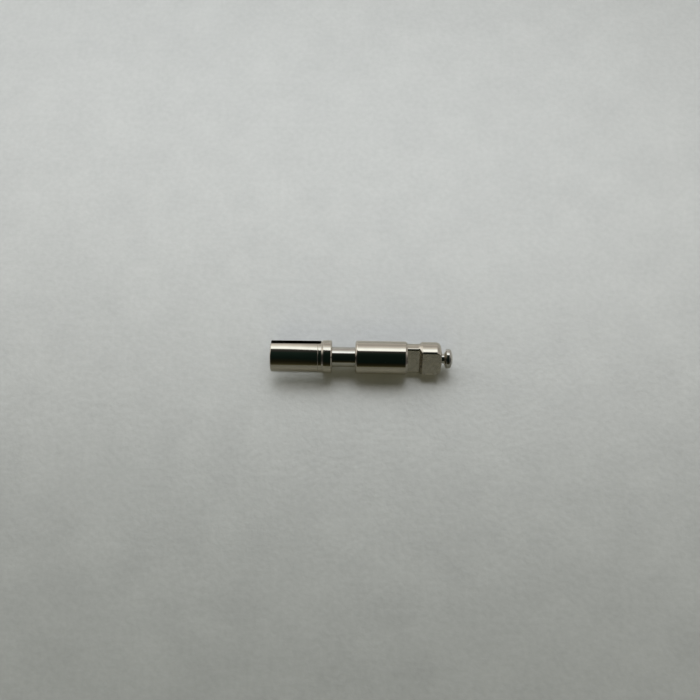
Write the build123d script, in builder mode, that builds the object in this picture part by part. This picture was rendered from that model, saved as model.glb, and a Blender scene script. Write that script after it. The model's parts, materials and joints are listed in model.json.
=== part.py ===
from build123d import *
import os
from math import cos, radians, sin

# Telescopic watch stem. A slotted snap socket and the shaft screwed into it slide, against a
# spring, in a barrel that ends in a drive head with two flats and a domed button.
# Millimetres. +X runs along the stem from the socket's mouth to the button, +Z is up, and the
# origin is on the axis in the plane of the mouth. The stem lies as it rests on a table.

# Sliding shaft, with a threaded stud on its left end and the key on its right end
shaft_diameter = 0.90
thread_diameter = 0.60
thread_length = 0.46
slide_travel = 0.95
closed_gap = 0.08
key_stud_diameter = 0.60
key_length = 0.28
key_flat_step = 0.015
key_round_step = 0.115

# Snap socket, turned in one with its collar
socket_length = 2.74
bore_step = 0.01
sleeve_wall = 0.25
finger_set = 0.01
collar_step = 0.04
collar_length = 0.38
collar_cone_length = 0.09
collar_bevel = 0.05
mouth_bevel = 0.05
snap_groove_depth = 0.05
snap_groove_start = 0.34
snap_groove_length = 0.52
turned_line_setback = 0.15
turned_line_width = 0.03
turned_line_depth = 0.012

# Two slots that part the sleeve into two springing halves
slot_width = 0.38
slot_setback = 0.012
slot_corner = 0.08

# Barrel
barrel_length = 2.33
barrel_wall = 0.14
seat_step = 0.025
rolled_edge = 0.11
barrel_bevel_length = 0.09
barrel_bevel_depth = 0.05
lip_thickness = 0.05

# Guide bush behind the barrel's rolled edge
bush_length = 0.36

# Drive head
plug_length = 0.34
spring_pocket_depth = 0.24
recess_length = 0.53
recess_across_flats = 0.47
recess_step = 0.0575
shoulder_length = 0.14
block_length = 0.84
block_across_flats = 0.90
block_step = 0.0125
block_rise_length = 0.20
block_corner = 0.24

# Button pin
button_neck_diameter = 0.425
button_seat_depth = 0.45
button_gap = 0.135
button_diameter = 0.88
button_cone_length = 0.085
button_rim_length = 0.19
button_dome_height = 0.12

# Thrust spring
spring_wire = 0.08
spring_turns = 5.5

# Clearances, each on the radius
running_clearance = 0.015
lip_clearance = 0.04
key_clearance = 0.02
spring_clearance = 0.035
pocket_clearance = 0.03

# Shared by all pieces
edge_break = 0.02
overrun = 0.5

# How the stem lies: degrees round the axis from +Y (back) towards +Z (up)
slots_angle = 43
flats_angle = 148
quarter_turn = 90

# Stations along the axis, from the mouth of the socket
cone_start = socket_length - collar_length - collar_cone_length
slot_end = cone_start - slot_setback
turned_line = cone_start - turned_line_setback
bore_end = socket_length - thread_length
snap_groove_end = snap_groove_start + snap_groove_length
neck_length = slide_travel + closed_gap
barrel_start = socket_length + neck_length
barrel_end = barrel_start + barrel_length
bush_start = barrel_start + lip_thickness
key_start = bush_start + bush_length
key_end = key_start + key_length
plug_start = barrel_end - plug_length
pocket_end = plug_start + spring_pocket_depth
shoulder_start = barrel_end + recess_length
block_start = shoulder_start + shoulder_length
block_end = block_start + block_length
button_start = block_end + button_gap
button_rim = button_start + button_cone_length
button_dome = button_rim + button_rim_length
button_end = button_dome + button_dome_height
spring_length = pocket_end - key_end

# Diameters, worked out from the shaft outwards
socket_bore_diameter = shaft_diameter + 2 * bore_step
snap_groove_diameter = socket_bore_diameter + 2 * snap_groove_depth
sleeve_diameter = socket_bore_diameter + 2 * sleeve_wall
mouth_diameter = sleeve_diameter - 2 * finger_set
collar_diameter = sleeve_diameter + 2 * collar_step
key_diameter = shaft_diameter + 2 * key_round_step
key_across_flats = shaft_diameter + 2 * key_flat_step
bore_diameter = key_diameter + 2 * key_clearance
bore_across_flats = key_across_flats + 2 * key_clearance
seat_diameter = bore_diameter + 2 * seat_step
barrel_diameter = seat_diameter + 2 * barrel_wall
bush_bore_diameter = shaft_diameter + 2 * running_clearance
lip_diameter = bush_bore_diameter + 2 * lip_clearance
spring_diameter = bore_across_flats - 2 * spring_clearance
pocket_diameter = spring_diameter + 2 * pocket_clearance
block_diameter = barrel_diameter - 2 * block_step
recess_diameter = block_diameter - 2 * recess_step


def facing(angle):
    """Direction square to the stem, turned by angle from +Y towards +Z."""
    return Vector(0, cos(radians(angle)), sin(radians(angle)))


def cross_plane(x, angle=0):
    """Plane square to the stem at x, its own x axis turned to angle."""
    return Plane(origin=(x, 0, 0), x_dir=facing(angle), z_dir=(1, 0, 0))


def side_plane(angle):
    """Plane along the stem, its own y axis turned to angle."""
    return Plane(origin=(0, 0, 0), x_dir=(1, 0, 0), z_dir=facing(angle + quarter_turn))


def ring_profile(start, end, inner, outer, bevel):
    """Half section of a ring from start to end, its outer edges bevelled."""
    Polyline(
        (start, inner / 2),
        (start, outer / 2 - bevel),
        (start + bevel, outer / 2),
        (end - bevel, outer / 2),
        (end, outer / 2 - bevel),
        (end, inner / 2),
        close=True,
    )


os.makedirs("parts", exist_ok=True)

# Snap socket: half section turned about the axis, then slotted across
with BuildPart() as snap_socket:
    with BuildSketch(Plane.XY):
        with BuildLine():
            Polyline(
                (0, socket_bore_diameter / 2 + mouth_bevel),
                (0, mouth_diameter / 2 - edge_break),
                (edge_break, mouth_diameter / 2),
                (turned_line - turned_line_width / 2, sleeve_diameter / 2),
                (turned_line, sleeve_diameter / 2 - turned_line_depth),
                (turned_line + turned_line_width / 2, sleeve_diameter / 2),
                (cone_start, sleeve_diameter / 2),
                (socket_length - collar_length, collar_diameter / 2),
                (socket_length - collar_bevel, collar_diameter / 2),
                (socket_length, collar_diameter / 2 - collar_bevel),
                (socket_length, thread_diameter / 2),
                (bore_end, thread_diameter / 2),
                (bore_end, socket_bore_diameter / 2),
                (snap_groove_end, socket_bore_diameter / 2),
                (snap_groove_end - snap_groove_depth, snap_groove_diameter / 2),
                (snap_groove_start + snap_groove_depth, snap_groove_diameter / 2),
                (snap_groove_start, socket_bore_diameter / 2),
                (mouth_bevel, socket_bore_diameter / 2),
                close=True,
            )
        make_face()
    revolve(axis=Axis.X)
    with BuildSketch(side_plane(slots_angle - quarter_turn)) as slot:
        with Locations(((slot_end - overrun) / 2, 0)):
            Rectangle(slot_end + overrun, slot_width)
        fillet(slot.vertices().group_by(Axis.X)[-1], slot_corner)
    extrude(amount=sleeve_diameter, both=True, mode=Mode.SUBTRACT)
snap_socket.part.label = "snap_socket"
export_step(snap_socket.part, "parts/snap_socket.step")

# Sliding shaft: its stud is screwed into the collar up to the shoulder, its right end carries the key
with BuildPart() as sliding_shaft:
    with BuildSketch(Plane.XY):
        with BuildLine():
            Polyline(
                (bore_end, 0),
                (bore_end, thread_diameter / 2 - edge_break),
                (bore_end + edge_break, thread_diameter / 2),
                (socket_length, thread_diameter / 2),
                (socket_length, shaft_diameter / 2),
                (key_start, shaft_diameter / 2),
                (key_start, key_stud_diameter / 2),
                (key_end, key_stud_diameter / 2),
                (key_end, 0),
                close=True,
            )
        make_face()
    revolve(axis=Axis.X)
sliding_shaft.part.label = "sliding_shaft"
export_step(sliding_shaft.part, "parts/sliding_shaft.step")

# Piston key: a disc with two flats, riveted on the shaft's inner end
with BuildPart() as piston_key:
    with BuildSketch(cross_plane(key_start, flats_angle)):
        Circle(key_diameter / 2)
        Rectangle(key_across_flats, key_diameter, mode=Mode.INTERSECT)
        Circle(key_stud_diameter / 2, mode=Mode.SUBTRACT)
    extrude(amount=key_length)
    ends = piston_key.faces().sort_by(Axis.X)
    chamfer(ends[0].outer_wire().edges() + ends[-1].outer_wire().edges(), edge_break)
piston_key.part.label = "piston_key"
export_step(piston_key.part, "parts/piston_key.step")

# Guide bush: seated in the barrel behind the rolled edge
with BuildPart() as guide_bush:
    with BuildSketch(Plane.XY):
        with BuildLine():
            ring_profile(bush_start, key_start, bush_bore_diameter, seat_diameter, edge_break)
        make_face()
    revolve(axis=Axis.X)
guide_bush.part.label = "guide_bush"
export_step(guide_bush.part, "parts/guide_bush.step")

# Barrel: left edge rolled over the bush, a bore with two flats, a round seat for the drive head
with BuildPart() as barrel:
    with BuildSketch(Plane.XY) as barrel_section:
        with BuildLine():
            Polyline(
                (barrel_start, 0),
                (barrel_start, barrel_diameter / 2),
                (barrel_end - barrel_bevel_length, barrel_diameter / 2),
                (barrel_end, barrel_diameter / 2 - barrel_bevel_depth),
                (barrel_end, 0),
                close=True,
            )
        make_face()
        rim = barrel_section.vertices().group_by(Axis.X)[0].sort_by(Axis.Y)[-1]
        fillet(rim, rolled_edge)
    revolve(axis=Axis.X)
    with BuildSketch(cross_plane(barrel_start)):
        Circle(lip_diameter / 2)
    extrude(amount=lip_thickness, mode=Mode.SUBTRACT)
    with BuildSketch(cross_plane(bush_start)):
        Circle(seat_diameter / 2)
    extrude(amount=bush_length, mode=Mode.SUBTRACT)
    with BuildSketch(cross_plane(key_start, flats_angle)):
        Circle(bore_diameter / 2)
        Rectangle(bore_across_flats, bore_diameter, mode=Mode.INTERSECT)
    extrude(amount=plug_start - key_start, mode=Mode.SUBTRACT)
    with BuildSketch(cross_plane(plug_start)):
        Circle(seat_diameter / 2)
    extrude(amount=plug_length + overrun, mode=Mode.SUBTRACT)
barrel.part.label = "barrel"
export_step(barrel.part, "parts/barrel.step")

# Drive head: turned plug, neck and block, with a pocket for the spring and a hole for the pin
with BuildPart() as drive_head:
    with BuildSketch(Plane.XY) as head_section:
        with BuildLine():
            Polyline(
                (plug_start, 0),
                (plug_start, seat_diameter / 2),
                (barrel_end, seat_diameter / 2),
                (barrel_end, recess_diameter / 2),
                (block_start - block_rise_length, recess_diameter / 2),
                (block_start, block_diameter / 2),
                (block_end, block_diameter / 2),
                (block_end, 0),
                close=True,
            )
        make_face()
        corner = head_section.vertices().group_by(Axis.X)[-1].sort_by(Axis.Y)[-1]
        fillet(corner, block_corner)
    revolve(axis=Axis.X)
    with BuildSketch(side_plane(flats_angle)):
        with BuildLine():
            Polyline(
                (barrel_end, recess_across_flats / 2),
                (shoulder_start, recess_across_flats / 2),
                (block_start, block_across_flats / 2),
                (block_end + overrun, block_across_flats / 2),
                (block_end + overrun, block_diameter / 2 + overrun),
                (barrel_end, block_diameter / 2 + overrun),
                close=True,
            )
        make_face()
        mirror(about=Plane.XZ)
    extrude(amount=block_diameter / 2 + overrun, both=True, mode=Mode.SUBTRACT)
    with BuildSketch(cross_plane(plug_start)):
        Circle(pocket_diameter / 2)
    extrude(amount=spring_pocket_depth, mode=Mode.SUBTRACT)
    with BuildSketch(cross_plane(block_end - button_seat_depth)):
        Circle(button_neck_diameter / 2)
    extrude(amount=button_seat_depth + overrun, mode=Mode.SUBTRACT)
drive_head.part.label = "drive_head"
export_step(drive_head.part, "parts/drive_head.step")

# Button pin: pressed into the block, with a coned back and a domed front
with BuildPart() as button_pin:
    with BuildSketch(Plane.XY):
        with BuildLine():
            Polyline(
                (button_end, 0),
                (block_end - button_seat_depth, 0),
                (block_end - button_seat_depth, button_neck_diameter / 2),
                (button_start, button_neck_diameter / 2),
                (button_rim, button_diameter / 2),
                (button_dome, button_diameter / 2),
            )
            dome_radius = (button_diameter**2 / 4 + button_dome_height**2) / (2 * button_dome_height)
            RadiusArc((button_dome, button_diameter / 2), (button_end, 0), dome_radius)
        make_face()
    revolve(axis=Axis.X)
button_pin.part.label = "button_pin"
export_step(button_pin.part, "parts/button_pin.step")

# Thrust spring: between the key and the floor of the drive head's pocket, its ends ground flat
with BuildPart() as thrust_spring:
    with BuildLine() as coil:
        Helix(
            spring_length / spring_turns,
            spring_length,
            (spring_diameter - spring_wire) / 2,
            center=(key_end, 0, 0),
            direction=(1, 0, 0),
        )
    with BuildSketch(Plane(origin=coil.line @ 0, z_dir=coil.line % 0)):
        Circle(spring_wire / 2)
    sweep()
    split(bisect_by=cross_plane(key_end), keep=Keep.TOP)
    split(bisect_by=cross_plane(pocket_end), keep=Keep.BOTTOM)
thrust_spring.part.label = "thrust_spring"
export_step(thrust_spring.part, "parts/thrust_spring.step")

print(f"travel {slide_travel:.2f} mm, room for the key {plug_start - key_end:.2f} mm")
print(f"overall length {button_end:.2f} mm")
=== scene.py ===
import json
from functools import cache
from math import asin, atan2, cos, hypot, pi, radians, sin, sqrt, tan

import bmesh
import bpy
from bpy.props import FloatProperty, FloatVectorProperty, PointerProperty
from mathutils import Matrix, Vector


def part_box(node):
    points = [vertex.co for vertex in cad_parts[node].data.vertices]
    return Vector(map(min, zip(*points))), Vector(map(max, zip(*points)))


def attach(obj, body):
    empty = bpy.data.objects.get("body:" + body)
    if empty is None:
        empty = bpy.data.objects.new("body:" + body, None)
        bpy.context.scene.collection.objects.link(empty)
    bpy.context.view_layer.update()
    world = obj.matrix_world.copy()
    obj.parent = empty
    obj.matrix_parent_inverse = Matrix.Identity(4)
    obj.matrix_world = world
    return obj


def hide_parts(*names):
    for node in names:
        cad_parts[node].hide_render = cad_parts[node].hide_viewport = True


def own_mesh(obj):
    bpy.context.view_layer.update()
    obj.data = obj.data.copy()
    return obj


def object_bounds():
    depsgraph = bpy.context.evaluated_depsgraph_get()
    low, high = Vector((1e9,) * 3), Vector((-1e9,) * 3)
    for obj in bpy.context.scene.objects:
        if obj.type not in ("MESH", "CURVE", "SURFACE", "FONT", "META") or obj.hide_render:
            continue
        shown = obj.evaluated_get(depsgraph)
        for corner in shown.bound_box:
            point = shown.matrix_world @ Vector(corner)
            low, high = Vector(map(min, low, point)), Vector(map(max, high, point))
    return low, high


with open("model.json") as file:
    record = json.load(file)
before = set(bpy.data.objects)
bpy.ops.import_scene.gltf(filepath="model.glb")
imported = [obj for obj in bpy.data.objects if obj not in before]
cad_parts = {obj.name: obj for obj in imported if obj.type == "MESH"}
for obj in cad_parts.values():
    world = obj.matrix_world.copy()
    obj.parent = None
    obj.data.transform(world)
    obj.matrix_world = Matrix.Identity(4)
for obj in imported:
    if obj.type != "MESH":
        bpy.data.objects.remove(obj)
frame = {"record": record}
cad_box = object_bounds()

# Telescopic watch stem on a pale studio floor. Metres. +X runs along the stem from the socket's mouth
# to the button, +Z is up, and angles round the stem are counted from +Y (back) towards +Z.

bl_info = {
    "name": "Watch Stem",
    "version": (1, 0, 0),
    "blender": (4, 5, 0),
    "location": "3D View > Sidebar > Watch Stem",
    "description": "Builds a telescopic watch stem, its metal finishes and a pale studio floor",
    "category": "Object",
}

MM = 0.001
FACETS = 256
ALL_ROUND = [2 * pi * k / FACETS for k in range(FACETS)]
BEVEL_SEGMENTS = 3
# Edges that bend more than the first are rounded, and those that bend more than the second are drawn sharp
ROUNDED_EDGE = radians(20)
SHARP_EDGE = radians(40)
# A face looks in a direction where its unit normal has at least this much of it
FACING = 0.5
# A face belongs to the flats where its normal turns less than this from theirs
FLAT_TILT = radians(5)
SAME_POINT = 1e-5 * MM
mounts = {mount["name"]: mount for mount in frame["record"]["mounts"]}
flat_direction = Vector(mounts["drive_flat_front"]["axis"])
flat_turn = atan2(flat_direction.z, flat_direction.y)


def span(node):
    """Where a piece starts and ends along the stem."""
    low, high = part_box(node)
    return low.x, high.x


def mount_radius(name):
    """Radius of a round mount, in metres."""
    return mounts[name]["dims"]["r_mm"] * MM


def linear(hex_colour):
    """Linear RGB from an sRGB hex colour."""
    channels = [int(hex_colour[k : k + 2], 16) / 255 for k in (1, 3, 5)]
    return [c / 12.92 if c <= 0.04045 else ((c + 0.055) / 1.055) ** 2.4 for c in channels]


# What a user would change


def length(name, description, default):
    return FloatProperty(
        name=name, description=description, default=default, min=0.0, precision=6, unit="LENGTH"
    )


def turn(name, description, default):
    return FloatProperty(name=name, description=description, default=radians(default), subtype="ANGLE")


def watts(name, description, default):
    return FloatProperty(
        name=name, description=description, default=default, min=0.0, precision=4, unit="POWER"
    )


def colour(name, description, default):
    return FloatVectorProperty(name=name, description=description, default=linear(default), subtype="COLOR")


class StemSocketSizes(bpy.types.PropertyGroup):
    sleeve_radius: length("Sleeve radius", "Outside of the slotted sleeve", 0.71 * MM)
    mouth_radius: length("Mouth radius", "Outside of the sleeve at its mouth", 0.70 * MM)
    mouth_corner: length("Mouth corner", "Radius of the mouth's outer edge", 0.05 * MM)
    mouth_bevel: length("Mouth bevel", "Bevel that leads into the bore", 0.05 * MM)
    collar_length: length("Collar length", "Cylinder and bevel of the collar", 0.38 * MM)
    cone_length: length("Cone length", "Cone between the sleeve and the collar", 0.09 * MM)
    collar_bevel: length("Collar bevel", "Bevel on the collar's right edge", 0.05 * MM)
    groove_start: length("Groove start", "From the mouth to the groove in the bore", 0.34 * MM)
    groove_length: length("Groove length", "Length of the groove in the bore", 0.52 * MM)
    groove_depth: length("Groove depth", "Depth of the groove in the bore", 0.05 * MM)
    line_setback: length("Line setback", "From the fine turned line to the cone", 0.15 * MM)
    line_width: length("Line width", "Width of the fine turned line", 0.024 * MM)
    line_depth: length("Line depth", "Depth of the fine turned line", 0.012 * MM)
    slot_width: length("Slot width", "Width of the two slots", 0.38 * MM)
    slot_setback: length("Slot setback", "From the slots' end to the cone", 0.012 * MM)
    slot_corner: length("Slot corner", "Radius of the corners at the slots' end", 0.08 * MM)
    slot_turn: turn("Slot turn", "How far the slots are turned up from the back", 43)
    edge: length("Edge", "How far the sharp edges are rounded", 0.005 * MM)


class StemShaftSizes(bpy.types.PropertyGroup):
    shaft_radius: length("Shaft radius", "The bright neck between collar and barrel", 0.45 * MM)
    stud_radius: length("Stud radius", "Screwed stud in the collar", 0.30 * MM)
    edge: length("Edge", "How far the sharp edges are rounded", 0.008 * MM)
    key_radius: length("Key radius", "Round part of the piston key", 0.565 * MM)
    key_half_flats: length("Key half flats", "From the axis to the key's flats", 0.465 * MM)


class StemBarrelSizes(bpy.types.PropertyGroup):
    rolled_edge: length("Rolled edge", "Radius of the left edge", 0.11 * MM)
    bevel_length: length("Bevel length", "Length of the right edge's bevel", 0.09 * MM)
    bevel_depth: length("Bevel depth", "Depth of the right edge's bevel", 0.05 * MM)
    lip_radius: length("Lip radius", "Opening in the left end", 0.505 * MM)
    seat_radius: length("Seat radius", "Seats of the guide bush and the drive head", 0.61 * MM)
    bush_bore_radius: length("Bush bore radius", "Bore of the guide bush", 0.465 * MM)
    bore_radius: length("Bore radius", "Round part of the barrel's bore", 0.585 * MM)
    bore_half_flats: length("Bore half flats", "From the axis to the bore's flats", 0.485 * MM)
    edge: length("Edge", "How far the sharp edges are rounded", 0.006 * MM)


class StemHeadSizes(bpy.types.PropertyGroup):
    recess_length: length("Recess length", "Length of the recess beside the barrel", 0.53 * MM)
    recess_radius: length("Recess radius", "Round part of the recess", 0.68 * MM)
    recess_half_flats: length("Recess half flats", "From the axis to the recess's flats", 0.235 * MM)
    shoulder_length: length("Shoulder length", "Slanted shoulder between the flats", 0.14 * MM)
    rise_length: length("Rise length", "Cone from the recess's round to the block's", 0.20 * MM)
    block_radius: length("Block radius", "Round part of the block", 0.7375 * MM)
    block_corner: length("Block corner", "Radius of the block's rounded end", 0.24 * MM)
    pocket_radius: length("Pocket radius", "Pocket for the spring", 0.48 * MM)
    flat_corner: length("Flat corner", "Radius of the long edges of the block's flats", 0.055 * MM)
    recess_corner: length("Recess corner", "Radius of the long edges of the recess's flats", 0.085 * MM)
    shoulder_corner: length("Shoulder corner", "Radius of the edges across the flats", 0.025 * MM)
    end_corner: length("End corner", "Radius of the flats' edges at the head's end", 0.020 * MM)


class StemButtonSizes(bpy.types.PropertyGroup):
    neck_radius: length("Neck radius", "Thin pin that carries the button", 0.2125 * MM)
    gap: length("Gap", "From the block to the button", 0.135 * MM)
    cone_length: length("Cone length", "Coned back of the button", 0.085 * MM)
    dome_height: length("Dome height", "Height of the domed front", 0.12 * MM)
    rim_corner: length("Rim corner", "Radius of the edge between the cone and the rim", 0.04 * MM)
    dome_corner: length("Dome corner", "Radius of the edge between the rim and the dome", 0.13 * MM)


class StemSpringSizes(bpy.types.PropertyGroup):
    wire_radius: length("Wire radius", "Radius of the spring's wire", 0.04 * MM)
    outer_radius: length("Outer radius", "Outside of the coil", 0.45 * MM)
    turns: FloatProperty(name="Turns", description="Turns of the coil", default=5.5, min=1.0)
    clearance: length("Clearance", "Between the key and the spring at full travel", 0.001 * MM)


class StemFinishes(bpy.types.PropertyGroup):
    nickel: colour("Nickel", "Polished nickel plate", "#CFC8B9")
    milled: colour("Milled nickel", "Nickel plate over milled flats", "#D0CABC")
    # The bore's colour is darkened as painted shade for the shade inside the sleeve's bore
    bored: colour("Bored steel", "Steel in the bore, where hardly any nickel has settled", "#4C4841")
    steel: colour("Hardened steel", "Burnished hardened steel", "#CBC8BE")
    brass: colour("Brass", "Turned brass", "#D0B36A")
    spring: colour("Spring steel", "Drawn spring wire", "#A9A6A0")
    # The slots' colour is darkened as painted shade for the shade in the slots
    sawn: colour("Sawn steel", "Steel in the slots, sawn after plating", "#5A554C")
    card: colour("Card", "Satin coated card", "#919593")


class StemStudio(bpy.types.PropertyGroup):
    elevation: turn("Elevation", "Height of the camera above the horizon", 68)
    azimuth: turn("Azimuth", "Turn of the camera round the stem", 1.03)
    field: turn("Field of view", "Angle that the picture takes in", 40)
    picture_width: length("Picture width", "Width of the picture at the stem", 31.35 * MM)
    aim_left: length("Aim left", "Picture's middle, left of the stem's middle", 0.527 * MM)
    aim_up: length("Aim up", "Picture's middle, above the stem's middle", 0.327 * MM)
    floor_side: length("Floor side", "Side of the square floor", 700 * MM)
    long_light: FloatProperty(
        name="Long light", description="Strength of the long light in the metal", default=1.7, min=0.0
    )
    back_lamp_distance: length("Back lamp distance", "From the stem to the back lamp", 100 * MM)
    back_lamp_height: turn("Back lamp height", "Height of the back lamp above the horizon", 58)
    back_lamp_width: length("Back lamp width", "Long side of the back lamp", 260 * MM)
    back_lamp_depth: length("Back lamp depth", "Short side of the back lamp", 60 * MM)
    back_lamp_power: watts("Back lamp power", "Power of the back lamp", 0.070)
    wide_lamp_distance: length("Wide lamp distance", "From the stem to the wide lamp", 400 * MM)
    wide_lamp_turn: turn("Wide lamp turn", "How far the wide lamp stands round to the left of the back", 18)
    wide_lamp_height: turn("Wide lamp height", "Height of the wide lamp above the horizon", 44)
    wide_lamp_width: length("Wide lamp width", "Long side of the wide lamp", 900 * MM)
    wide_lamp_depth: length("Wide lamp depth", "Short side of the wide lamp", 200 * MM)
    wide_lamp_power: watts("Wide lamp power", "Power of the wide lamp", 1.77)
    fill_lamp_distance: length("Fill lamp distance", "From the stem to the fill lamp before it", 400 * MM)
    fill_lamp_height: turn("Fill lamp height", "Height of the fill lamp above the horizon", 30)
    fill_lamp_side: length("Fill lamp side", "Side of the square fill lamp", 300 * MM)
    fill_lamp_power: watts("Fill lamp power", "Power of the fill lamp", 0.88)
    fill_lamp_colour: colour("Fill lamp colour", "Warm light thrown back by the room", "#FFF2C8")


# Mesh code


def ring(x, radius, angles=ALL_ROUND):
    """Points round the stem at x, one for each angle."""
    return [Vector((x, radius * cos(angle), radius * sin(angle))) for angle in angles]


def from_axis(point):
    """How far a point is from the stem's axis."""
    return hypot(point.y, point.z)


def bridge(mesh, first, second, closed=True):
    """Quads from one row of vertices to the next, all the way round if closed."""
    count = len(first)
    for k in range(count if closed else count - 1):
        n = (k + 1) % count
        mesh.faces.new((first[k], first[n], second[n], second[k]))


def skinned(outlines, closed):
    """A mesh with quads from outline to outline. Closed joins the last to the first, and otherwise both
    get a flat end."""
    mesh = bmesh.new()
    rows = [[mesh.verts.new(point) for point in points] for points in outlines]
    for first, second in zip(rows, rows[1:]):
        bridge(mesh, first, second)
    if closed:
        bridge(mesh, rows[-1], rows[0])
    else:
        mesh.faces.new(rows[0])
        mesh.faces.new(rows[-1])
    return mesh


def turned(profile, closed):
    """Solid turned about the axis from a profile of (x, radius) points."""
    return skinned([ring(x, radius) for x, radius in profile], closed)


def corner_arc(before, corner, after, radius, steps):
    """Points of the arc that rounds a corner of a profile, tangent to both its sides."""
    back = (Vector(before) - Vector(corner)).normalized()
    ahead = (Vector(after) - Vector(corner)).normalized()
    half = back.angle(ahead) / 2
    centre = Vector(corner) + (back + ahead).normalized() * radius / sin(half)
    start = (Vector(corner) + back * radius / tan(half) - centre).normalized()
    end = (Vector(corner) + ahead * radius / tan(half) - centre).normalized()
    return [tuple(centre + radius * start.slerp(end, k / steps)) for k in range(steps + 1)]


def round_edges(mesh, width, chosen=lambda edge: True):
    """Rounds the sharp edges. It works in millimetres, because the bevel takes a micrometre for nothing."""
    bmesh.ops.recalc_face_normals(mesh, faces=mesh.faces)
    sharp = [e for e in mesh.edges if e.is_manifold and e.calc_face_angle() > ROUNDED_EDGE and chosen(e)]
    bmesh.ops.scale(mesh, vec=Vector((1, 1, 1)) / MM, verts=mesh.verts)
    bmesh.ops.bevel(
        mesh,
        geom=sharp,
        offset=width / MM,
        offset_type="OFFSET",
        segments=BEVEL_SEGMENTS,
        profile=0.5,
        affect="EDGES",
        clamp_overlap=False,
        material=-1,
    )
    bmesh.ops.scale(mesh, vec=Vector((1, 1, 1)) * MM, verts=mesh.verts)


def weigh_normals(data):
    """Normals that lean to the larger faces, so that these are shaded true up to their rounded edges.
    Corners at sharp edges keep their own. The modifier for it takes areas this small for nothing."""
    at_sharp_edges = {corner for edge in data.edges if edge.use_edge_sharp for corner in edge.vertices}
    leaning = [Vector() for vertex in data.vertices]
    for face in data.polygons:
        for corner in face.vertices:
            leaning[corner] += face.normal * (face.area / MM**2)
    for corner in at_sharp_edges:
        leaning[corner] = Vector()
    data.normals_split_custom_set([leaning[loop.vertex_index].normalized() for loop in data.loops])


def add_object(name, data):
    """An object in the scene with this data."""
    added = bpy.data.objects.new(name, data)
    bpy.context.scene.collection.objects.link(added)
    return added


def make_piece(name, mesh, *materials):
    """A smooth object from the mesh, in the materials that the functions make."""
    bmesh.ops.recalc_face_normals(mesh, faces=mesh.faces)
    for face in mesh.faces:
        face.smooth = True
    for edge in mesh.edges:
        edge.smooth = not (edge.is_manifold and edge.calc_face_angle() > SHARP_EDGE)
    data = bpy.data.meshes.new(name)
    mesh.to_mesh(data)
    mesh.free()
    weigh_normals(data)
    for make in materials:
        data.materials.append(material_of(make))
    return add_object(name, data)


# Materials

NOISE_DETAIL = 3.0
# The range of the noise over which a patch sets in, and of two noises added up for gloss and mottle
PATCH_NOISE = {"From Min": 0.35, "From Max": 0.7}
GLOSS_NOISE = {"From Min": 0.7, "From Max": 1.3}
MOTTLE_NOISE = {"From Min": 0.6, "From Max": 1.4}
# A mix node's two colour inputs and its colour output
COLOUR_A, COLOUR_B, MIXED_COLOUR = 6, 7, 2


def add_node(tree, kind, inputs=None, **settings):
    """Adds a node. Settings are its own properties, inputs are plain values or the sockets that feed it."""
    node = tree.nodes.new(kind)
    for key, value in settings.items():
        setattr(node, key, value)
    for key, value in (inputs or {}).items():
        if isinstance(value, bpy.types.NodeSocket):
            tree.links.new(value, node.inputs[key])
        else:
            node.inputs[key].default_value = value
    return node


def new_material(name):
    """An empty node material, its node tree and its coordinates in millimetres."""
    material = bpy.data.materials.new(name)
    material.use_nodes = True
    tree = material.node_tree
    tree.nodes.clear()
    place = add_node(tree, "ShaderNodeTexCoord").outputs["Object"]
    millimetres = add_node(tree, "ShaderNodeVectorMath", {0: place, "Scale": 1 / MM}, operation="SCALE")
    return material, tree, millimetres.outputs["Vector"]


def shade(colour_of, share=1.0):
    """A colour that is a share as bright, with full alpha."""
    return (*(channel * share for channel in colour_of), 1.0)


def metal(name, colour_of, dulled, roughness, marks, patch, slant=0.0):
    """A metal with tool marks round the stem and soft patches where it is duller.

    Dulled is its colour's share inside a patch, roughness is its range over marks and patches, marks are
    how far apart, how long and how deep they are, and patch is how wide a patch is. Sizes are in
    millimetres, and slant turns the marks in the plane of the flats."""
    material, tree, millimetres = new_material(name)
    spacing, run, depth = marks
    slanted = add_node(
        tree, "ShaderNodeVectorRotate", {"Vector": millimetres, "Axis": flat_direction, "Angle": slant}
    )
    drawn_out = add_node(
        tree,
        "ShaderNodeMapping",
        {"Vector": slanted.outputs["Vector"], "Scale": (1 / spacing, 1 / run, 1 / run)},
    )
    streaks = add_node(
        tree,
        "ShaderNodeTexNoise",
        {"Vector": drawn_out.outputs["Vector"], "Scale": 1.0, "Detail": NOISE_DETAIL},
    )
    clouds = add_node(
        tree, "ShaderNodeTexNoise", {"Vector": millimetres, "Scale": 1 / patch, "Detail": NOISE_DETAIL}
    )
    patches = add_node(tree, "ShaderNodeMapRange", {"Value": clouds.outputs["Fac"], **PATCH_NOISE})
    tint = add_node(
        tree,
        "ShaderNodeMix",
        {"Factor": patches.outputs["Result"], COLOUR_A: shade(colour_of), COLOUR_B: shade(colour_of, dulled)},
        data_type="RGBA",
    )
    both = add_node(
        tree, "ShaderNodeMath", {0: streaks.outputs["Fac"], 1: clouds.outputs["Fac"]}, operation="ADD"
    )
    gloss = add_node(
        tree,
        "ShaderNodeMapRange",
        {"Value": both.outputs["Value"], **GLOSS_NOISE, "To Min": roughness[0], "To Max": roughness[1]},
    )
    bump = add_node(tree, "ShaderNodeBump", {"Height": streaks.outputs["Fac"], "Distance": depth * MM})
    shader = add_node(
        tree,
        "ShaderNodeBsdfPrincipled",
        {
            "Base Color": tint.outputs[MIXED_COLOUR],
            "Metallic": 1.0,
            "Roughness": gloss.outputs["Result"],
            "Normal": bump.outputs["Normal"],
        },
    )
    add_node(tree, "ShaderNodeOutputMaterial", {"Surface": shader.outputs["BSDF"]})
    return material


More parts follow.
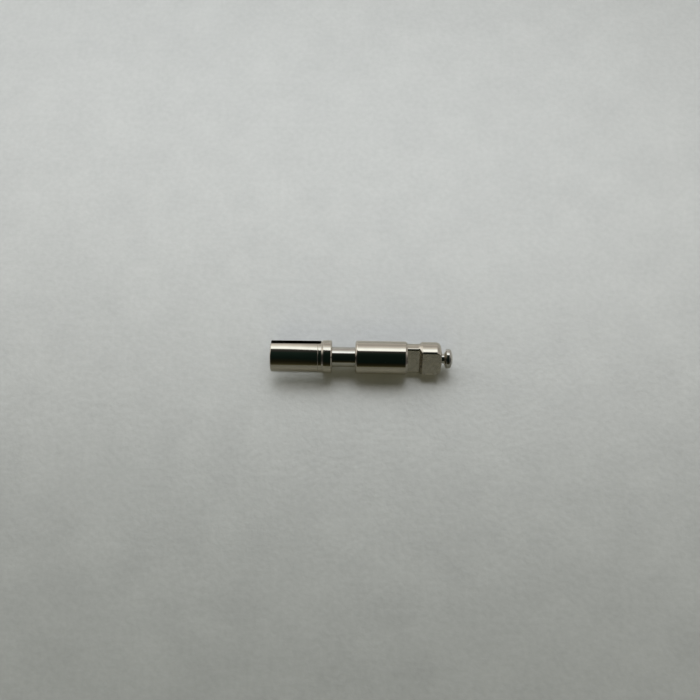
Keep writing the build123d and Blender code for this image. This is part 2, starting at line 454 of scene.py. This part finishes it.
def polished_nickel(finishes):
    """Nickel plate over turned and mirror-polished steel: a warm silver mirror with the faintest rings
    left by turning, and a few soft patches where handling has dulled it."""
    # Turning leaves rings about 0.01 mm apart, drawn at 0.03 mm, or they would not show
    return metal(
        "polished_nickel_plate", finishes.nickel,
        dulled=0.93, roughness=(0.035, 0.07), marks=(0.03, 3.0, 0.0001), patch=0.5,
    )


def milled_nickel(finishes):
    """Nickel plate over finely milled steel: a grey satin that shows no clear reflection, with the
    cutter's fine slanting marks."""
    # The cutter's feed is about 0.02 mm, and its marks are drawn 0.04 mm apart
    return metal(
        "milled_nickel_plate", finishes.milled,
        dulled=0.86, roughness=(0.20, 0.30), marks=(0.04, 1.2, 0.0004), patch=0.2, slant=radians(35),
    )


def painted_shade_bore(finishes):
    """The sleeve's bore as the boring tool left it: dull rings, in a steel colour darkened to paint the shade
    inside the bore."""
    # The boring tool's rings are about 0.02 mm apart and drawn at 0.04 mm
    return metal(
        "bored_steel_painted_shade", finishes.bored,
        dulled=0.6, roughness=(0.35, 0.5), marks=(0.04, 2.0, 0.0008), patch=0.3,
    )


def painted_shade_slot_walls(finishes):
    """The slots' walls as the saw left them: dull steel scored along the cut, its grey darkened to paint the
    shade in the slots.
    """
    # The saw's scores are about 0.02 mm apart and drawn at 0.04 mm
    return metal(
        "sawn_steel_painted_shade", finishes.sawn,
        dulled=0.7, roughness=(0.30, 0.45), marks=(0.04, 0.6, 0.0008), patch=0.2,
    )


def burnished_steel(finishes):
    """Hardened steel, burnished bare: a clear mirror, cooler than the plate, with hairline rings."""
    # The burnisher's hairlines are about 0.005 mm apart and drawn at 0.02 mm
    return metal(
        "burnished_hard_steel", finishes.steel,
        dulled=0.92, roughness=(0.035, 0.07), marks=(0.02, 3.0, 0.0001), patch=0.3,
    )


def turned_brass(finishes):
    """Brass as turned on the lathe: yellow, softly shining, with plain rings."""
    # The tool's feed is about 0.02 mm and drawn at 0.04 mm
    return metal(
        "turned_brass", finishes.brass,
        dulled=0.85, roughness=(0.20, 0.32), marks=(0.04, 3.0, 0.0005), patch=0.4,
    )


def drawn_wire(finishes):
    """Spring steel wire as it leaves the die: grey and half dull, with faint draw marks."""
    # Draw marks are about 0.005 mm wide and drawn at 0.02 mm
    return metal(
        "drawn_spring_wire", finishes.spring,
        dulled=0.8, roughness=(0.28, 0.40), marks=(0.02, 0.4, 0.0003), patch=0.1,
    )


def satin_card(finishes):
    """Coated card with a satin face: pale and plain, brighter towards the light, with the faint cloudiness
    and tooth of paper."""
    material, tree, millimetres = new_material("satin_coated_card")
    card = finishes.card
    roughness = 0.42
    # Widths are in millimetres. The card's tooth is about 0.1 mm wide and drawn at 0.25 mm
    cloud_width = 1.6
    cloud_shade = 0.76
    tooth_width = 0.25
    tooth_depth = 0.009 * MM
    clouds, tooth = (
        add_node(
            tree, "ShaderNodeTexNoise", {"Vector": millimetres, "Scale": 1 / width, "Detail": NOISE_DETAIL}
        )
        for width in (cloud_width, tooth_width)
    )
    both = add_node(
        tree, "ShaderNodeMath", {0: clouds.outputs["Fac"], 1: tooth.outputs["Fac"]}, operation="ADD"
    )
    mottle = add_node(tree, "ShaderNodeMapRange", {"Value": both.outputs["Value"], **MOTTLE_NOISE})
    tint = add_node(
        tree,
        "ShaderNodeMix",
        {"Factor": mottle.outputs["Result"], COLOUR_A: shade(card), COLOUR_B: shade(card, cloud_shade)},
        data_type="RGBA",
    )
    bump = add_node(tree, "ShaderNodeBump", {"Height": tooth.outputs["Fac"], "Distance": tooth_depth})
    shader = add_node(
        tree,
        "ShaderNodeBsdfPrincipled",
        {
            "Base Color": tint.outputs[MIXED_COLOUR],
            "Roughness": roughness,
            "IOR": 1.8,
            "Specular IOR Level": 1.0,
            "Coat Weight": 1.0,
            "Coat Roughness": roughness,
            "Normal": bump.outputs["Normal"],
        },
    )
    add_node(tree, "ShaderNodeOutputMaterial", {"Surface": shader.outputs["BSDF"]})
    return material


@cache
def material_of(make):
    """The material that a function makes, made once."""
    return make(bpy.context.scene.stem_finishes)


# Pieces


def slot_angle(radius, offset):
    """Angle at a radius from the middle of a slot to a point beside it."""
    return asin(offset / radius)


def slot_columns(half_width, corner, steps=6):
    """Across a slot's end, from one edge to the other: (offset from the middle, how far short of the end)."""
    side = []
    for k in range(1, steps + 1):
        angle = pi / 2 * k / steps
        side.append((half_width - corner + corner * cos(angle), corner - corner * sin(angle)))
    middle = [((half_width - corner) * share, 0.0) for share in (0.5, 0.0, -0.5)]
    return side + middle + [(-offset, short) for offset, short in reversed(side)]


def build_snap_socket(socket):
    """The slotted sleeve and its collar. Its columns run along the stem, and those that cross a slot
    start at the slot's end."""
    start, end = span("snap_socket")
    bore = mount_radius("socket")
    collar = mount_radius("barrel_seat")
    stud_start = span("sliding_shaft")[0]
    stud = bpy.context.scene.stem_shaft.stud_radius
    cone_start = end - socket.collar_length - socket.cone_length
    slot_end = cone_start - socket.slot_setback
    slot_side_end = slot_end - socket.slot_corner
    line = cone_start - socket.line_setback
    groove_end = socket.groove_start + socket.groove_length
    half_width = socket.slot_width / 2
    mouth = socket.mouth_radius

    back_profile = [
        (slot_side_end, socket.sleeve_radius),
        (cone_start, socket.sleeve_radius),
        (end - socket.collar_length, collar),
        (end - socket.collar_bevel, collar),
        (end, collar - socket.collar_bevel),
        (end, stud),
        (stud_start, stud),
        (stud_start, bore),
        (slot_side_end, bore),
    ]
    front_profile = [
        (groove_end, bore),
        (groove_end - socket.groove_depth, bore + socket.groove_depth),
        (socket.groove_start + socket.groove_depth, bore + socket.groove_depth),
        (socket.groove_start, bore),
        (start + socket.mouth_bevel, bore),
        (start, bore + socket.mouth_bevel),
        *corner_arc(
            (start, bore), (start, mouth), (line, socket.sleeve_radius), socket.mouth_corner, steps=6
        ),
        (line - socket.line_width / 2, socket.sleeve_radius),
        (line, socket.sleeve_radius - socket.line_depth),
        (line + socket.line_width / 2, socket.sleeve_radius),
    ]
    half_facets = round(FACETS * (0.5 - slot_angle(socket.sleeve_radius, half_width) / pi))
    across = slot_columns(half_width, socket.slot_corner)

    mesh = bmesh.new()

    def half_row(x, radius, middle):
        """One half of the sleeve between its two slots."""
        edge = slot_angle(radius, half_width)
        first = socket.slot_turn + middle + edge
        angles = [first + (pi - 2 * edge) * k / half_facets for k in range(half_facets + 1)]
        return [mesh.verts.new(point) for point in ring(x, radius, angles)]

    def slot_row(x, radius, middle, at_end):
        """The points across one slot, at the slot's end or on a full ring."""
        row = []
        for offset, short in reversed(across):
            shift = (slot_end - slot_side_end - short) if at_end else 0.0
            angle = socket.slot_turn + middle + slot_angle(radius, offset)
            row.append(mesh.verts.new(ring(x + shift, radius, [angle])[0]))
        return row

    # All the way round, a row of the closed back runs half, slot, half, slot
    halves = (0.0, pi)
    back_rows = []
    for k, (x, radius) in enumerate(back_profile):
        at_end = k in (0, len(back_profile) - 1)
        row = []
        for middle in halves:
            row.append(half_row(x, radius, middle))
            row.append(slot_row(x, radius, middle + pi, at_end))
        back_rows.append(row)
    for first, second in zip(back_rows, back_rows[1:]):
        bridge(mesh, sum(first, []), sum(second, []))
    outer, inner = back_rows[0], back_rows[-1]
    for side in (0, 1):
        ahead = (2 * side + 2) % 4
        outer_edge = [outer[2 * side][-1], *outer[2 * side + 1], outer[ahead][0]]
        inner_edge = [inner[2 * side][-1], *inner[2 * side + 1], inner[ahead][0]]
        bridge(mesh, outer_edge, inner_edge, closed=False)
        front = [inner[2 * side]]
        front += [half_row(x, radius, halves[side]) for x, radius in front_profile]
        front.append(outer[2 * side])
        for first, second in zip(front, front[1:]):
            bridge(mesh, first, second, closed=False)
        mesh.faces.new([row[0] for row in front])
        mesh.faces.new([row[-1] for row in front])
    # Just over the radius that the groove and the mouth's bevel reach
    inside = bore + socket.groove_depth + 0.2 * socket.mouth_bevel
    round_edges(mesh, socket.edge, lambda e: all(from_axis(v.co) > inside for v in e.verts))
    for face in mesh.faces:
        middle = face.calc_center_median()
        outward = Vector((0, middle.y, middle.z)).normalized()
        # Faces in the bore take the bore's painted shade
        if all(from_axis(v.co) < inside for v in face.verts):
            face.material_index = 1
        # The slots' walls take the slots' painted shade
        elif abs(face.normal.dot(outward)) < FACING and start + socket.mouth_bevel < middle.x < cone_start:
            face.material_index = 2
    piece = make_piece("slotted_snap_socket", mesh, polished_nickel, painted_shade_bore, painted_shade_slot_walls)
    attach(piece, "socket_unit")
    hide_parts("snap_socket")


def build_sliding_shaft(shaft):
    """The rod between the collar and the barrel, with its screwed stud and its riveted end."""
    start, end = span("sliding_shaft")
    shoulder = span("snap_socket")[1]
    key_start = span("piston_key")[0]
    radius, stud = shaft.shaft_radius, shaft.stud_radius
    profile = [(start, stud), (shoulder, stud), (shoulder, radius)]
    profile += [(key_start, radius), (key_start, stud), (end, stud)]
    mesh = turned(profile, closed=False)
    round_edges(mesh, shaft.edge)
    piece = make_piece("polished_sliding_shaft", mesh, burnished_steel)
    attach(piece, "socket_unit")
    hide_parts("sliding_shaft")


def flatted(x, radius, half_flats):
    """Points round the stem at x on a round with two flats."""
    points = []
    for angle in ALL_ROUND:
        across = abs(cos(angle - flat_turn))
        points += ring(x, min(radius, half_flats / max(across, half_flats / radius)), [angle])
    return points


def build_piston_key(shaft):
    """The disc with two flats on the shaft's inner end."""
    start, end = span("piston_key")
    outlines = [
        ring(start, shaft.stud_radius),
        flatted(start, shaft.key_radius, shaft.key_half_flats),
        flatted(end, shaft.key_radius, shaft.key_half_flats),
        ring(end, shaft.stud_radius),
    ]
    mesh = skinned(outlines, closed=True)
    round_edges(mesh, shaft.edge)
    piece = make_piece("flatted_piston_key", mesh, burnished_steel)
    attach(piece, "socket_unit")
    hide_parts("piston_key")


def build_barrel(barrel):
    """The polished tube: rolled left edge, bevelled right edge, and the bore with its two seats."""
    start, end = span("barrel")
    bush_start, bush_end = span("guide_bush")
    plug_start = span("drive_head")[0]
    radius = mount_radius("barrel_seat")
    seat = barrel.seat_radius
    lip = barrel.lip_radius
    rolled = corner_arc((start, 0), (start, radius), (end, radius), barrel.rolled_edge, steps=14)
    outside = [*rolled, (end - barrel.bevel_length, radius), (end, radius - barrel.bevel_depth)]
    outlines = [ring(x, r) for x, r in (*outside, (end, seat), (plug_start, seat))]
    outlines += [flatted(x, barrel.bore_radius, barrel.bore_half_flats) for x in (plug_start, bush_end)]
    bush_seat = ((bush_end, seat), (bush_start, seat), (bush_start, lip), (start, lip))
    outlines += [ring(x, r) for x, r in bush_seat]
    mesh = skinned(outlines, closed=True)
    round_edges(mesh, barrel.edge, lambda e: all(from_axis(v.co) > seat + barrel.edge for v in e.verts))
    piece = make_piece("polished_barrel", mesh, polished_nickel)
    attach(piece, "barrel_unit")
    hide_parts("barrel")


def build_guide_bush(barrel):
    """The brass ring that guides the shaft behind the barrel's rolled edge."""
    start, end = span("guide_bush")
    seat = barrel.seat_radius
    bore = barrel.bush_bore_radius
    mesh = turned([(start, bore), (start, seat), (end, seat), (end, bore)], closed=True)
    round_edges(mesh, barrel.edge)
    piece = make_piece("brass_guide_bush", mesh, turned_brass)
    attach(piece, "barrel_unit")
    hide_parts("guide_bush")


def two_flats(x, radius, half_flats, corner, crossing_share, flat_steps=16, corner_steps=6, arc_steps=40):
    """Points round the stem at x on a round with two flats, the edges between them rounded by corner.
    Crossing_share is where on half a flat's width the plug's round crosses it, and a point lies there."""
    out = half_flats - corner
    along = sqrt((radius - corner) ** 2 - out**2)
    meets_round = atan2(along, out)
    shares = [2 * k / flat_steps - 1 for k in range(flat_steps + 1)]
    shares[1], shares[-2] = -crossing_share, crossing_share
    turns = [meets_round * k / corner_steps for k in range(1, corner_steps + 1)]
    rounds = [meets_round + (pi - 2 * meets_round) * k / arc_steps for k in range(1, arc_steps)]
    outline = [(half_flats, along * share) for share in shares]
    outline += [(out + corner * cos(angle), along + corner * sin(angle)) for angle in turns]
    outline += [(radius * cos(angle), radius * sin(angle)) for angle in rounds]
    outline += [(-out - corner * cos(angle), along + corner * sin(angle)) for angle in reversed(turns)]
    points = []
    for middle in (flat_turn, flat_turn + pi):
        for outward, sideways in outline:
            points += ring(x, hypot(outward, sideways), [middle + atan2(sideways, outward)])
    return points


def rounded(profile, radius_at):
    """A profile with some of its corners rounded, radius_at giving their radii by their place in it."""
    points = []
    for k, point in enumerate(profile):
        if k in radius_at:
            points += corner_arc(profile[k - 1], point, profile[k + 1], radius_at[k], steps=6)
        else:
            points.append(point)
    return points


def height_over(profile, x):
    """Height of a profile over x, straight between its points."""
    for (before, low), (after, high) in zip(profile, profile[1:]):
        if before <= x <= after and after > before:
            return low + (high - low) * (x - before) / (after - before)
    return profile[-1][1]


def build_drive_head(head):
    """The head with two flats: recess, slanted shoulder and block, its plug in the barrel, the pocket
    for the spring and the hole for the button's pin."""
    start, end = span("drive_head")
    barrel_end = span("barrel")[1]
    pin_start = span("button_pin")[0]
    pocket_end = span("thrust_spring")[1]
    seat = bpy.context.scene.stem_barrel.seat_radius
    neck = bpy.context.scene.stem_button.neck_radius
    block_half_flats = abs(Vector(mounts["drive_flat_front"]["pos_m"]).dot(flat_direction))
    shoulder_start = barrel_end + head.recess_length
    block_start = shoulder_start + head.shoulder_length
    rise_start = block_start - head.rise_length
    corner = head.recess_corner
    flat_end = sqrt((head.recess_radius - corner) ** 2 - (head.recess_half_flats - corner) ** 2)
    crossing_share = sqrt(seat**2 - head.recess_half_flats**2) / flat_end

    rounds = [
        (barrel_end, head.recess_radius),
        (rise_start, head.recess_radius),
        (block_start, head.block_radius),
        *corner_arc(
            (block_start, head.block_radius), (end, head.block_radius), (end, 0), head.block_corner, steps=20
        ),
    ]
    flats = rounded(
        [
            (barrel_end, head.recess_half_flats),
            (shoulder_start, head.recess_half_flats),
            (block_start, block_half_flats),
            (end, block_half_flats),
            (end, 0),
        ],
        {1: head.shoulder_corner, 2: head.shoulder_corner, 3: head.end_corner},
    )[:-1]
    corners = [(barrel_end, corner), (shoulder_start, corner), (block_start, head.flat_corner)]
    stations = sorted({round(x / MM, 6) * MM for x, height in rounds + flats})
    outlines = [
        two_flats(x, height_over(rounds, x), height_over(flats, x), height_over(corners, x), crossing_share)
        for x in stations
    ]
    first_angles = [atan2(point.z, point.y) for point in outlines[0]]
    last_angles = [atan2(point.z, point.y) for point in outlines[-1]]

    plug = [(pocket_end, head.pocket_radius), (start, head.pocket_radius), (start, seat), (barrel_end, seat)]
    plugged = [ring(x, radius, first_angles) for x, radius in plug]
    bored = [ring(x, neck, last_angles) for x in (end, pin_start)]
    mesh = skinned([*plugged, *outlines, *bored], closed=False)
    bmesh.ops.remove_doubles(mesh, verts=mesh.verts, dist=SAME_POINT)
    bmesh.ops.recalc_face_normals(mesh, faces=mesh.faces)
    for face in mesh.faces:
        across = abs(face.normal.dot(flat_direction))
        on_flat = across > cos(FLAT_TILT) or (across > FACING and abs(face.normal.x) > FACING)
        face.material_index = int(on_flat and face.calc_center_median().x > barrel_end)
    piece = make_piece("flatted_drive_head", mesh, polished_nickel, milled_nickel)
    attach(piece, "barrel_unit")
    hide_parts("drive_head")


def build_button_pin(button):
    """The pin pressed into the block, with its coned and domed button."""
    start, end = span("button_pin")
    block_end = span("drive_head")[1]
    radius = mount_radius("button")
    neck = button.neck_radius
    back = block_end + button.gap
    rim = back + button.cone_length
    dome = end - button.dome_height
    dome_radius = (radius**2 + button.dome_height**2) / (2 * button.dome_height)
    half_angle = asin(radius / dome_radius)
    dome_steps = 24
    domed = []
    for k in range(dome_steps + 1):
        angle = half_angle * (1 - k / dome_steps)
        domed.append((end - dome_radius * (1 - cos(angle)), dome_radius * sin(angle)))
    coned_edge = corner_arc((back, neck), (rim, radius), (dome, radius), button.rim_corner, steps=10)
    domed_edge = corner_arc((rim, radius), domed[0], domed[1], button.dome_corner, steps=10)
    rest_of_dome = [point for point in domed[1:-1] if point[0] > domed_edge[-1][0]]
    mesh = turned([(start, neck), (back, neck), *coned_edge, *domed_edge, *rest_of_dome], closed=False)
    piece = make_piece("domed_button_pin", mesh, burnished_steel)
    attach(piece, "barrel_unit")
    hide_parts("button_pin")


def build_thrust_spring(spring):
    """The coil between the key and the drive head, its ends ground flat."""
    start, end = span("thrust_spring")
    steps_per_turn = 64
    sides = 16
    steps = round(spring.turns * steps_per_turn)
    coil_radius = spring.outer_radius - spring.wire_radius
    outlines = []
    for k in range(steps + 1):
        x = start + (end - start) * k / steps
        angle = 2 * pi * k / steps_per_turn
        outward = Vector((0, cos(angle), sin(angle)))
        points = []
        for side in range(sides):
            around = 2 * pi * side / sides
            point = outward * (coil_radius + spring.wire_radius * cos(around))
            point.x = min(max(x + spring.wire_radius * sin(around), start), end)
            points.append(point)
        outlines.append(points)
    mesh = skinned(outlines, closed=False)
    piece = make_piece("coiled_thrust_spring", mesh, drawn_wire)
    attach(piece, "barrel_unit")
    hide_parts("thrust_spring")
    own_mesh(piece)


# Stage


def build_floor(studio):
    """A square of pale card under the stem."""
    half = studio.floor_side / 2
    level = -mount_radius("barrel_seat")
    square = ((-half, -half), (half, -half), (half, half), (-half, half))
    data = bpy.data.meshes.new("pale_floor")
    data.from_pydata([(x, y, level) for x, y in square], [], [(0, 1, 2, 3)])
    data.materials.append(material_of(satin_card))
    floor = add_object("pale_floor", data)
    return floor


def build_world(studio):
    """A plain studio all round: pale walls low at the back, a long soft light above them, and a dark
    ceiling and front. The light sinks over the sleeve, and is weaker far to the left and right."""
    world = bpy.data.worlds.new("plain_studio")
    world.use_nodes = True
    tree = world.node_tree
    tree.nodes.clear()
    direction = add_node(tree, "ShaderNodeTexCoord")
    axes = add_node(tree, "ShaderNodeSeparateXYZ", {"Vector": direction.outputs["Generated"]}).outputs
    rise = add_node(tree, "ShaderNodeMath", {0: axes["Z"]}, operation="ABSOLUTE")
    angle = add_node(tree, "ShaderNodeMath", {0: rise.outputs["Value"], 1: axes["Y"]}, operation="ARCTAN2")
    height = add_node(tree, "ShaderNodeMapRange", {"Value": angle.outputs["Value"], "From Max": pi})

    # Heights are degrees above the back horizon, and sinking is how far the light comes down over the sleeve
    half_turn = 180
    sinking = 8
    # How far a direction goes along the stem where each band sets in, and where it has taken over
    reach = {"sleeve": (-0.03, -0.08), "left": (-0.32, -0.65), "right": (0.12, 0.5)}
    sinks_from, sunk_at = reach["sleeve"]
    sinks = add_node(
        tree,
        "ShaderNodeMapRange",
        {"Value": axes["X"], "From Min": sinks_from, "From Max": sunk_at, "To Max": sinking / half_turn},
    )
    sunk = add_node(tree, "ShaderNodeMath", {0: height.outputs["Result"], 1: sinks.outputs["Result"]})
    pale, cool, green, olive = "#FFFCFA", "#F4FAFF", "#8FBFB0", "#DCD6A0"
    # Height, how bright it is there as a share of the long light, and its tint
    bands = {
        "across": [
            (0, 0.37, pale), (10, 0.31, pale), (20, 0.27, pale), (28, 0.35, pale), (37, 0.48, pale),
            (45, 0.70, cool), (51, 1.0, cool), (65, 1.0, cool), (68, 0.05, pale), (73, 0.024, pale),
            (85, 0.020, green), (104, 0.012, green), (148, 0.009, green), (160, 0.009, olive),
            (168, 0.015, olive), (175, 0.03, olive), (179, 0.08, olive),
        ],
        "sleeve": [
            (0, 0.28, pale), (17, 0.34, pale), (28, 0.50, pale), (38, 0.60, pale), (47, 0.92, cool),
            (54, 1.0, cool), (64, 1.0, cool), (68, 0.05, pale), (80, 0.022, pale), (93, 0.026, green),
            (112, 0.018, green), (134, 0.012, green), (158, 0.010, olive), (170, 0.018, olive),
            (178, 0.021, olive), (180, 0.05, olive),
        ],
        "left": [
            (0, 0.30, pale), (30, 0.35, pale), (48, 0.60, pale), (59, 0.47, pale), (67, 0.36, pale),
            (76, 0.22, pale), (85, 0.135, pale), (93, 0.05, pale), (102, 0.022, pale), (115, 0.014, pale),
            (150, 0.018, pale), (175, 0.05, pale), (179, 0.12, pale),
        ],
        "right": [
            (0, 0.27, pale), (30, 0.22, pale), (54, 0.25, pale), (63, 0.28, pale), (90, 0.13, pale),
            (112, 0.07, pale), (135, 0.05, pale), (159, 0.05, pale), (175, 0.08, pale), (179, 0.16, pale),
        ],
    }
    ramps = {}
    for band, stops in bands.items():
        read_at = height.outputs["Result"] if band in ("left", "right") else sunk.outputs["Value"]
        ramps[band] = add_node(tree, "ShaderNodeValToRGB", {"Fac": read_at})
        elements = ramps[band].color_ramp.elements
        for k, (degrees_up, share, tint) in enumerate(stops):
            place = degrees_up / half_turn
            element = elements[k] if k < len(elements) else elements.new(place)
            element.position = place
            element.color = shade(linear(tint), share)
    seen = ramps["across"].outputs["Color"]
    for band, (sets_in, takes_over) in reach.items():
        towards = add_node(
            tree,
            "ShaderNodeMapRange",
            {"Value": axes["X"], "From Min": sets_in, "From Max": takes_over},
            interpolation_type="SMOOTHSTEP",
        )
        mixed = add_node(
            tree,
            "ShaderNodeMix",
            {"Factor": towards.outputs["Result"], COLOUR_A: seen, COLOUR_B: ramps[band].outputs["Color"]},
            data_type="RGBA",
        )
        seen = mixed.outputs[MIXED_COLOUR]
    background = add_node(tree, "ShaderNodeBackground", {"Color": seen, "Strength": studio.long_light})
    add_node(tree, "ShaderNodeOutputWorld", {"Surface": background.outputs["Background"]})
    bpy.context.scene.world = world


def build_lamp(name, round_left, up, distance, size, power, tint, card, sheen):
    """A soft lamp for the card alone, which gives it either its sheen or its plain light. The metal mirrors
    the studio's long light instead."""
    lamp = bpy.data.lights.new(name, "AREA")
    lamp.shape = "RECTANGLE"
    lamp.size, lamp.size_y = size
    lamp.energy = power
    lamp.color = tint
    direction = Vector((-sin(round_left) * cos(up), cos(round_left) * cos(up), sin(up)))
    holder = add_object(name, lamp)
    holder.location = (cad_box[0] + cad_box[1]) / 2 + direction * distance
    holder.rotation_euler = (-direction).to_track_quat("-Z", "Y").to_euler()
    holder.light_linking.receiver_collection = card
    holder.visible_glossy = sheen
    holder.visible_diffuse = not sheen


def build_lamps(studio, floor):
    """The lamp behind the stem, which gives the card its satin sheen, the wide one behind it, which
    lights the card round both its ends, and a weak warm one before it, which lightens the shadow."""
    card = bpy.data.collections.new("card_under_the_lamps")
    card.objects.link(floor)
    white = linear("#FFFFFF")
    build_lamp(
        "back_lamp", 0, studio.back_lamp_height, studio.back_lamp_distance,
        (studio.back_lamp_width, studio.back_lamp_depth), studio.back_lamp_power, white, card, sheen=True,
    )
    build_lamp(
        "wide_lamp", studio.wide_lamp_turn, studio.wide_lamp_height, studio.wide_lamp_distance,
        (studio.wide_lamp_width, studio.wide_lamp_depth), studio.wide_lamp_power, white, card, sheen=False,
    )
    build_lamp(
        "fill_lamp", pi, studio.fill_lamp_height, studio.fill_lamp_distance,
        (studio.fill_lamp_side, studio.fill_lamp_side), studio.fill_lamp_power, studio.fill_lamp_colour,
        card, sheen=False,
    )


def build_camera(studio):
    """The camera above and before the stem, its picture's middle just left of and above the stem's."""
    azimuth, elevation = studio.azimuth, studio.elevation
    back = Vector((sin(azimuth) * cos(elevation), -cos(azimuth) * cos(elevation), sin(elevation)))
    right = Vector((cos(azimuth), sin(azimuth), 0))
    up = back.cross(right)
    middle = Vector(((cad_box[0].x + cad_box[1].x) / 2, 0, 0))
    aim = middle - right * studio.aim_left + up * studio.aim_up
    data = bpy.data.cameras.new("camera")
    data.angle = studio.field
    data.clip_start = MM
    data.clip_end = studio.floor_side
    camera = add_object("camera", data)
    camera.location = aim + back * (studio.picture_width / 2 / tan(studio.field / 2))
    camera.rotation_euler = back.to_track_quat("Z", "Y").to_euler()
    bpy.context.scene.camera = camera


# Operators and panel


class StemOperator:
    bl_options = {"REGISTER", "UNDO"}


class STEM_OT_snap_socket(StemOperator, bpy.types.Operator):
    """Builds the slotted snap socket with its collar"""

    bl_idname = "stem.snap_socket"
    bl_label = "Snap Socket"

    def execute(self, context):
        build_snap_socket(context.scene.stem_socket)
        return {"FINISHED"}


class STEM_OT_sliding_shaft(StemOperator, bpy.types.Operator):
    """Builds the sliding shaft"""

    bl_idname = "stem.sliding_shaft"
    bl_label = "Sliding Shaft"

    def execute(self, context):
        build_sliding_shaft(context.scene.stem_shaft)
        return {"FINISHED"}


class STEM_OT_piston_key(StemOperator, bpy.types.Operator):
    """Builds the piston key on the shaft's inner end"""

    bl_idname = "stem.piston_key"
    bl_label = "Piston Key"

    def execute(self, context):
        build_piston_key(context.scene.stem_shaft)
        return {"FINISHED"}


class STEM_OT_barrel(StemOperator, bpy.types.Operator):
    """Builds the barrel"""

    bl_idname = "stem.barrel"
    bl_label = "Barrel"

    def execute(self, context):
        build_barrel(context.scene.stem_barrel)
        return {"FINISHED"}


class STEM_OT_guide_bush(StemOperator, bpy.types.Operator):
    """Builds the guide bush in the barrel"""

    bl_idname = "stem.guide_bush"
    bl_label = "Guide Bush"

    def execute(self, context):
        build_guide_bush(context.scene.stem_barrel)
        return {"FINISHED"}


class STEM_OT_drive_head(StemOperator, bpy.types.Operator):
    """Builds the drive head with its two flats"""

    bl_idname = "stem.drive_head"
    bl_label = "Drive Head"

    def execute(self, context):
        build_drive_head(context.scene.stem_head)
        return {"FINISHED"}


class STEM_OT_button_pin(StemOperator, bpy.types.Operator):
    """Builds the button on its pin"""

    bl_idname = "stem.button_pin"
    bl_label = "Button"

    def execute(self, context):
        build_button_pin(context.scene.stem_button)
        return {"FINISHED"}


class STEM_OT_thrust_spring(StemOperator, bpy.types.Operator):
    """Builds the coil spring in the barrel"""

    bl_idname = "stem.thrust_spring"
    bl_label = "Thrust Spring"

    def execute(self, context):
        build_thrust_spring(context.scene.stem_spring)
        return {"FINISHED"}


class STEM_OT_stage(StemOperator, bpy.types.Operator):
    """Lays the floor and sets the lights and the camera"""

    bl_idname = "stem.stage"
    bl_label = "Stage"

    def execute(self, context):
        context.scene.view_settings.view_transform = "Standard"
        studio = context.scene.stem_studio
        floor = build_floor(studio)
        build_world(studio)
        build_lamps(studio, floor)
        build_camera(studio)
        return {"FINISHED"}


# The operators above, in their order
PARTS = StemOperator.__subclasses__()


class STEM_PT_panel(bpy.types.Panel):
    """Lists the stem's pieces and the values that can be changed"""

    bl_idname = "STEM_PT_panel"
    bl_label = "Watch Stem"
    bl_space_type = "VIEW_3D"
    bl_region_type = "UI"
    bl_category = "Watch Stem"

    def draw(self, context):
        for operator in PARTS:
            self.layout.operator(operator.bl_idname)
        for attribute, group in GROUPS.items():
            box = self.layout.box()
            values = getattr(context.scene, attribute)
            for key in group.__annotations__:
                box.prop(values, key)


GROUPS = {
    "stem_socket": StemSocketSizes,
    "stem_shaft": StemShaftSizes,
    "stem_barrel": StemBarrelSizes,
    "stem_head": StemHeadSizes,
    "stem_button": StemButtonSizes,
    "stem_spring": StemSpringSizes,
    "stem_finishes": StemFinishes,
    "stem_studio": StemStudio,
}


def register():
    for cls in (*GROUPS.values(), *PARTS, STEM_PT_panel):
        bpy.utils.register_class(cls)
    for attribute, group in GROUPS.items():
        setattr(bpy.types.Scene, attribute, PointerProperty(type=group))


def unregister():
    for attribute in GROUPS:
        delattr(bpy.types.Scene, attribute)
    for cls in reversed((*GROUPS.values(), *PARTS, STEM_PT_panel)):
        bpy.utils.unregister_class(cls)


def main():
    register()
    bpy.ops.stem.snap_socket()
    bpy.ops.stem.sliding_shaft()
    bpy.ops.stem.piston_key()
    bpy.ops.stem.barrel()
    bpy.ops.stem.guide_bush()
    bpy.ops.stem.drive_head()
    bpy.ops.stem.button_pin()
    bpy.ops.stem.thrust_spring()
    bpy.ops.stem.stage()


if __name__ == "__main__":
    main()
